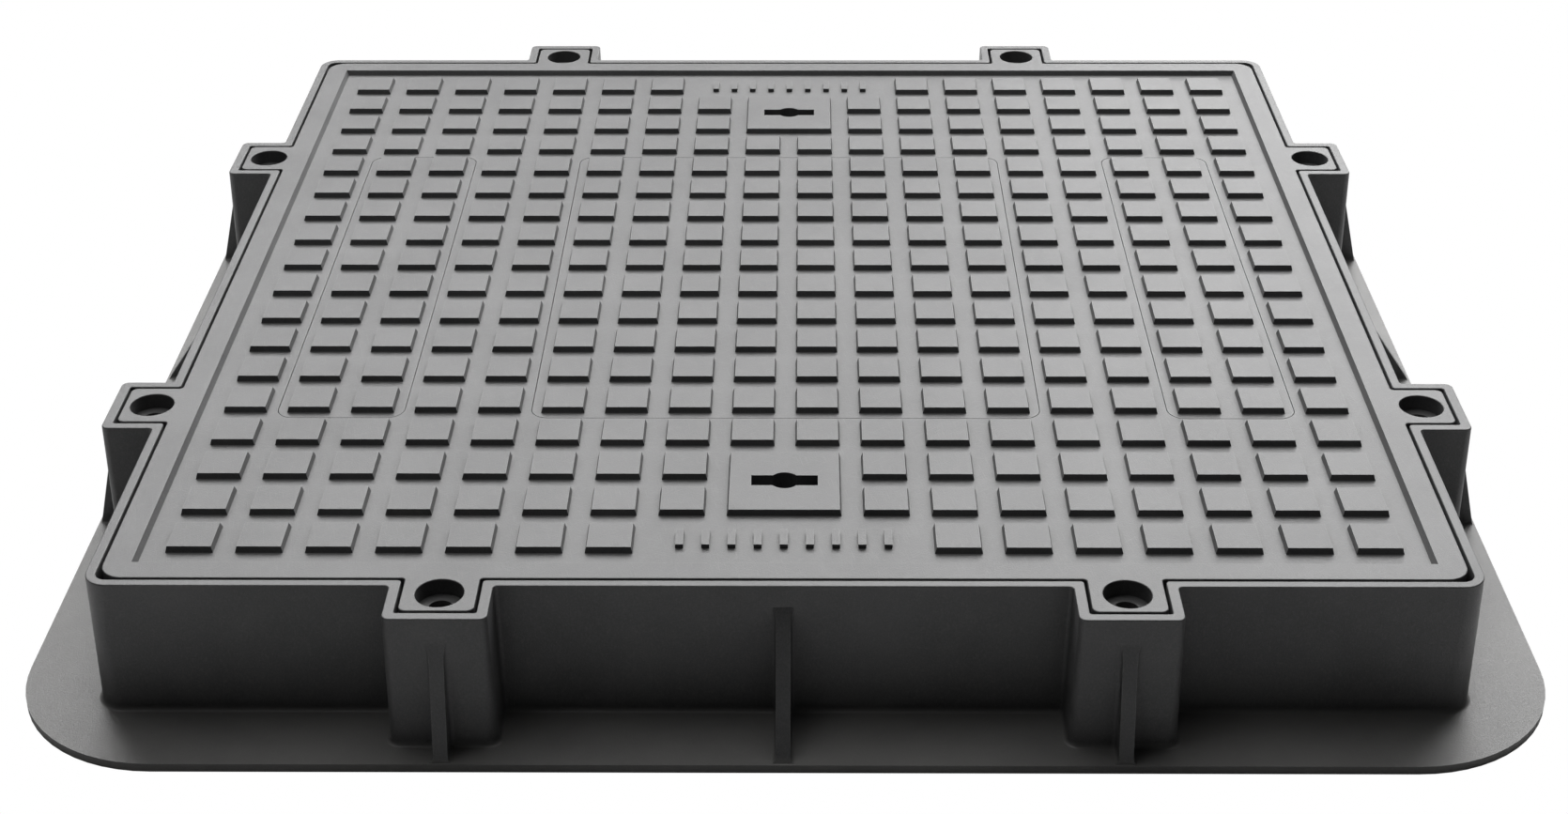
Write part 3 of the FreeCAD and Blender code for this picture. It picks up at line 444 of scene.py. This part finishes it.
def seal_surface(low, high):
    """Points of the seal: its section carried round a square with round corners.

    Each corner is a quarter circle about a centre inside it. The section is a flat-bottomed
    strip whose top is a cosine of three lips, with a shoulder down each side of them and a
    small chamfer along each foot.
    """
    quarter = np.repeat(np.arange(4), STEPS_PER_CORNER)
    along = np.tile(np.linspace(0.0, 1.0, STEPS_PER_CORNER), 4)
    angle = (quarter + along) * math.pi / 2
    diagonal = (quarter + 0.5) * math.pi / 2
    middle = (high.x - low.x - SEAL_WIDTH) / 2
    square = (middle - SEAL_CORNER) * math.sqrt(2.0)
    outward = np.stack([np.cos(angle), np.sin(angle)], axis=-1)
    path = square * np.stack([np.cos(diagonal), np.sin(diagonal)], axis=-1) + SEAL_CORNER * outward
    half = SEAL_WIDTH / 2
    foot = low.z
    edge = SEAL_FOOT_EDGE
    across = np.linspace(-half, half, STEPS_ACROSS)
    lips = high.z - LIP_RISE / 2 * (1.0 - np.cos(2 * math.pi * across / LIP_SPACING))
    offsets = np.concatenate([across, [half, half, half - edge, edge - half, -half, -half]])
    heights = np.concatenate([lips, [lips[-1] - LIP_SHOULDER, foot + edge, foot, foot, foot + edge,
                                     lips[0] - LIP_SHOULDER]])
    flat = path[:, None, :] + offsets[None, :, None] * outward[:, None, :]
    level = np.broadcast_to(heights[None, :, None], (len(path), len(offsets), 1))
    return np.concatenate([flat, level], axis=-1)


def make_rubber():
    """Extruded rubber: near black and matt, with a grey bloom and a fine grain."""
    material, tree, surface, place = start_material("seal_rubber")
    grain = add_group(tree, press_grain, {"Vector": place, "Per Metre": 1500.0})
    wear = add_group(tree, wear_and_highlight_places, {"Edge Radius": 0.0006})
    bloom = add_math(tree, "MULTIPLY", add_range(tree, grain["Cloud"], (0.40, 0.70)), 0.6)
    dusty = add_math(tree, "MAXIMUM", bloom, wear["Corner"])
    tree.links.new(add_colour_mix(tree, dusty, RUBBER, RUBBER_BLOOM), surface["Base Color"])
    tree.links.new(add_range(tree, dusty, (0.0, 1.0), RUBBER_ROUGHNESS), surface["Roughness"])
    surface["Sheen Weight"].default_value = 0.15
    surface["Sheen Roughness"].default_value = 0.5
    add_relief(tree, surface, grain["Height"], strength=0.3, depth=0.0001)
    return material


seal = add_surface("seat_seal_lipped", seal_surface(*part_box("seat_seal")), make_rubber(), "frame",
                   looped=True)
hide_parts("seat_seal")

# ------------------------------------------------------------------ cover and tread panels
# The cover is one thick pressing of the same compound, stiffened by webs underneath. Three
# tread panels, pressed apart from it, are bonded into pockets so that only a hairline shows.
TREAD_EDGE = 0.00035
finish_node("cover", make_composite("cover_composite", shift=(0.31, 0.17, 0.05)))
soften_edges("cover", TREAD_EDGE)
for number, name in enumerate(("left_tread_panel", "centre_tread_panel", "right_tread_panel")):
    finish_node(name, make_composite(f"{name}_composite", shift=(0.11 * number, 0.43, 0.02)))
    soften_edges(name, TREAD_EDGE)

# ------------------------------------------------------------------ strike plates
# A stainless plate behind each keyhole, which the turned head of the lifting key pulls on. It
# is sawn from rolled sheet, so its brushed lines run one way.
STEEL = (0.42, 0.42, 0.43, 1.0)
SCUFFED_STEEL = (0.60, 0.60, 0.61, 1.0)
STEEL_ROUGHNESS = (0.26, 0.44)
BRUSHED_STRETCH = 100.0
PLATE_EDGE = 0.0003


def make_brushed_steel(name, lines_per_metre):
    """Stainless steel with brushed lines, which are a noise stretched along X."""
    material, tree, surface, place = start_material(name)
    drawn = add_node(tree, "ShaderNodeMapping",
                     {"Vector": place, "Scale": (lines_per_metre / BRUSHED_STRETCH, lines_per_metre,
                                                 lines_per_metre)})
    lines = add_node(tree, "ShaderNodeTexNoise",
                     {"Vector": drawn.outputs["Vector"], "Scale": 1.0, "Detail": 3.0}).outputs["Fac"]
    wear = add_group(tree, wear_and_highlight_places, {"Edge Radius": 0.0005})
    bright = add_math(tree, "MAXIMUM", wear["Edge"], add_range(tree, lines, (0.45, 0.75), (0.0, 0.7)))
    tree.links.new(add_colour_mix(tree, bright, STEEL, SCUFFED_STEEL), surface["Base Color"])
    surface["Metallic"].default_value = 1.0
    tree.links.new(add_range(tree, lines, (0.30, 0.70), STEEL_ROUGHNESS), surface["Roughness"])
    add_relief(tree, surface, lines, strength=0.25, depth=0.00003)
    return material


plate_steel = make_brushed_steel("strike_steel", 2600.0)
for end in ("front", "back"):
    finish_node(f"strike_plate_{end}", plate_steel)
    soften_edges(f"strike_plate_{end}", PLATE_EDGE)

# ------------------------------------------------------------------ key pots
# A closed black polypropylene pot under each strike plate. It gives the key's head room to
# turn and keeps water and grit out of the chamber.
POT_BLACK = (0.012, 0.012, 0.013, 1.0)
POT_SCUFF = (0.060, 0.060, 0.062, 1.0)
POT_ROUGHNESS = (0.36, 0.52)
POT_EDGE = 0.0004


def make_pot_plastic():
    """Injection-moulded black plastic, with a fine tool grain and scuffed edges."""
    material, tree, surface, place = start_material("pot_plastic")
    grain = add_group(tree, press_grain, {"Vector": place, "Per Metre": 1300.0})
    wear = add_group(tree, wear_and_highlight_places, {"Edge Radius": 0.0008})
    cloudy = add_range(tree, grain["Cloud"], (0.55, 0.75), (0.0, 0.4))
    scuffed = add_math(tree, "MAXIMUM", wear["Edge"], cloudy)
    tree.links.new(add_colour_mix(tree, scuffed, POT_BLACK, POT_SCUFF), surface["Base Color"])
    tree.links.new(add_range(tree, grain["Height"], (0.35, 0.65), POT_ROUGHNESS), surface["Roughness"])
    add_relief(tree, surface, grain["Height"], strength=0.4, depth=0.0001)
    return material


pot_plastic = make_pot_plastic()
for end in ("front", "back"):
    finish_node(f"key_pot_{end}", pot_plastic)
    soften_edges(f"key_pot_{end}", POT_EDGE)

# ------------------------------------------------------------------ key pot screws
# Four stainless self-tapping screws hold each pot and strike plate up against the cover. They
# have low cheese heads with a hexagon socket, and point upwards into pilot holes.
HEAD_RADIUS = 0.0045
HEAD_HEIGHT = 0.0035
HEAD_ROUNDING = 0.0007
SHANK_RADIUS = 0.0025
SOCKET_WIDTH = 0.004
SOCKET_DEPTH = 0.0019
SCREW_EDGE = 0.0002
TAPPING_PITCH = 0.0018
TAPPING_DEPTH = 0.00045
TIP_LENGTH = 0.003
TIP_SHARE = 0.25
SOCKET_CENTRE = 0.2
SCREW_STEPS_AROUND = 48
RIM_STEPS = 5
SHANK_STEPS = 64


def screw_surface(x, y, foot, top):
    """Points of one screw as rings from the floor of its socket to its tip.

    A socket ring's radius is half the width across flats over the cosine of the angle from the
    nearest flat, which draws a hexagon. The head's rim is a quarter circle. On the shank the
    radius is the crest's less the depth of the thread where the wave is empty, and the last
    turns taper to the tip.
    """
    turn = np.linspace(0.0, 2 * math.pi, SCREW_STEPS_AROUND, endpoint=False)[None, :]
    from_flat = (turn + math.pi / 6) % (math.pi / 3) - math.pi / 6
    hexagon = SOCKET_WIDTH / 2 / np.cos(from_flat)
    socket = np.concatenate([SOCKET_CENTRE * hexagon, hexagon - SCREW_EDGE / 2, hexagon,
                             hexagon + SCREW_EDGE])
    socket_heights = foot + np.array([[SOCKET_DEPTH], [SOCKET_DEPTH], [SOCKET_DEPTH - SCREW_EDGE], [0.0]])

    rim = np.linspace(0.0, math.pi / 2, RIM_STEPS)[:, None]
    rim_radii = HEAD_RADIUS - HEAD_ROUNDING * (1.0 - np.sin(rim))
    rim_heights = foot + HEAD_ROUNDING * (1.0 - np.cos(rim))
    seat_radii = np.array([[HEAD_RADIUS], [HEAD_RADIUS], [SHANK_RADIUS]])
    seat_heights = foot + HEAD_HEIGHT - np.array([[SCREW_EDGE], [0.0], [0.0]])

    up = np.linspace(foot + HEAD_HEIGHT, top, SHANK_STEPS)[:, None]
    taper = np.clip((top - up) / TIP_LENGTH, 0.0, 1.0)
    crest = SHANK_RADIUS * (TIP_SHARE + (1.0 - TIP_SHARE) * np.sqrt(taper))
    wave = screw_wave(turn, up, TAPPING_PITCH)
    thread = np.minimum(crest, SHANK_RADIUS - TAPPING_DEPTH * (1.0 - wave))

    radii = np.concatenate([socket, rim_radii + 0.0 * turn, seat_radii + 0.0 * turn, thread])
    heights = np.concatenate([socket_heights, rim_heights, seat_heights, up]) + 0.0 * turn
    return np.stack([x + radii * np.cos(turn), y + radii * np.sin(turn), heights], axis=-1)


screw_steel = make_brushed_steel("screw_steel", 1800.0)
for end in ("front", "back"):
    low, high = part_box(f"key_pot_screws_{end}")
    corners = ((low.x, low.y), (high.x, low.y), (high.x, high.y), (low.x, high.y))
    for number, (x, y) in enumerate(corners):
        inward_x = math.copysign(HEAD_RADIUS, (low.x + high.x) / 2 - x)
        inward_y = math.copysign(HEAD_RADIUS, (low.y + high.y) / 2 - y)
        points = screw_surface(x + inward_x, y + inward_y, low.z, high.z)
        piece = add_surface(f"key_pot_screw_{end}_{number + 1}", points, screw_steel, "cover",
                            flat_ends=True)
        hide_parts(f"key_pot_screws_{end}")

# ------------------------------------------------------------------ studio
# A seamless pale floor, clear from beneath, a broad soft box high behind the cover, a small one
# low on its right and a weak one overhead. The camera looks down over the front edge.
CAMERA_PLACE = (0.01082, -1.65136, 0.92790)
CAMERA_TURN = (60.08357, 0.14468, 0.38766)  # degrees
CAMERA_LENS = 54.89  # millimetres
HALF_FLOOR = 12.0
FLOOR_GAP = 0.0002
FLOOR_GREY = (0.6, 0.6, 0.6, 1.0)
AIR_GREY = (0.03, 0.03, 0.03, 1.0)
WHITE = (1.0, 1.0, 1.0, 1.0)


def add_soft_box(name, place, width, depth, radiance):
    """A rectangular light facing the cover. Its power is radiance times pi times its area."""
    light = bpy.data.lights.new(name, "AREA")
    light.shape = "RECTANGLE"
    light.size = width
    light.size_y = depth
    light.energy = radiance * math.pi * width * depth
    box = bpy.data.objects.new(name, light)
    box.location = place
    aim = Vector((0.0, 0.0, cad_high.z)) - Vector(place)
    box.rotation_euler = aim.to_track_quat("-Z", "Y").to_euler()
    box.visible_camera = False
    bpy.context.scene.collection.objects.link(box)


def show_to_camera(tree, usual, shown, output):
    """Mixes two shaders: the camera's own rays see one, and every other ray sees the other."""
    ray = add_node(tree, "ShaderNodeLightPath")
    mixed = add_node(tree, "ShaderNodeMixShader", {"Fac": ray.outputs["Is Camera Ray"], 1: usual, 2: shown})
    tree.links.new(mixed.outputs[0], output)


add_soft_box("back_soft_box", (0.25, 2.6, 2.50), width=5.6, depth=2.2, radiance=7.0)
add_soft_box("right_soft_box", (1.15, 3.4, 1.05), width=1.3, depth=0.8, radiance=7.5)
add_soft_box("top_soft_box", (-0.2, 0.4, 2.6), width=3.2, depth=1.8, radiance=2.3)

world = bpy.data.worlds.new("studio")
world.use_nodes = True
bpy.context.scene.world = world
air = world.node_tree
dim = air.nodes["Background"]
dim.inputs["Color"].default_value = AIR_GREY
white = add_node(air, "ShaderNodeBackground", {"Color": WHITE})
show_to_camera(air, dim.outputs[0], white.outputs[0], air.nodes["World Output"].inputs["Surface"])

paper, sheet, surface, place = start_material("floor_paper")
surface["Base Color"].default_value = FLOOR_GREY
surface["Roughness"].default_value = 1.0
surface["Specular IOR Level"].default_value = 0.0
glow = add_node(sheet, "ShaderNodeEmission", {"Color": WHITE})
clear = add_node(sheet, "ShaderNodeBsdfTransparent")
beneath = add_node(sheet, "ShaderNodeNewGeometry")
seen = add_node(sheet, "ShaderNodeMixShader",
                {"Fac": beneath.outputs["Backfacing"], 1: glow.outputs[0], 2: clear.outputs[0]})
show_to_camera(sheet, sheet.nodes["Principled BSDF"].outputs[0], seen.outputs[0],
               sheet.nodes["Material Output"].inputs["Surface"])
floor_mesh = bpy.data.meshes.new("floor")
level = cad_low.z - FLOOR_GAP
floor_mesh.from_pydata([(-HALF_FLOOR, -HALF_FLOOR, level), (HALF_FLOOR, -HALF_FLOOR, level),
                        (HALF_FLOOR, HALF_FLOOR, level), (-HALF_FLOOR, HALF_FLOOR, level)],
                       [], [(0, 1, 2, 3)])
floor_mesh.materials.append(paper)
floor = bpy.data.objects.new("floor", floor_mesh)
bpy.context.scene.collection.objects.link(floor)
floor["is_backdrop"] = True

lens = bpy.data.cameras.new("camera")
lens.lens = CAMERA_LENS
camera = bpy.data.objects.new("camera", lens)
camera.location = CAMERA_PLACE
camera.rotation_euler = [math.radians(angle) for angle in CAMERA_TURN]
bpy.context.scene.collection.objects.link(camera)
bpy.context.scene.camera = camera
bpy.context.scene.view_settings.view_transform = "Standard"

# ------------------------------------------------------------------ size
# The cover and frame as drawn are as large as the imported model. The visual model's box is
# measured here.
low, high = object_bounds()
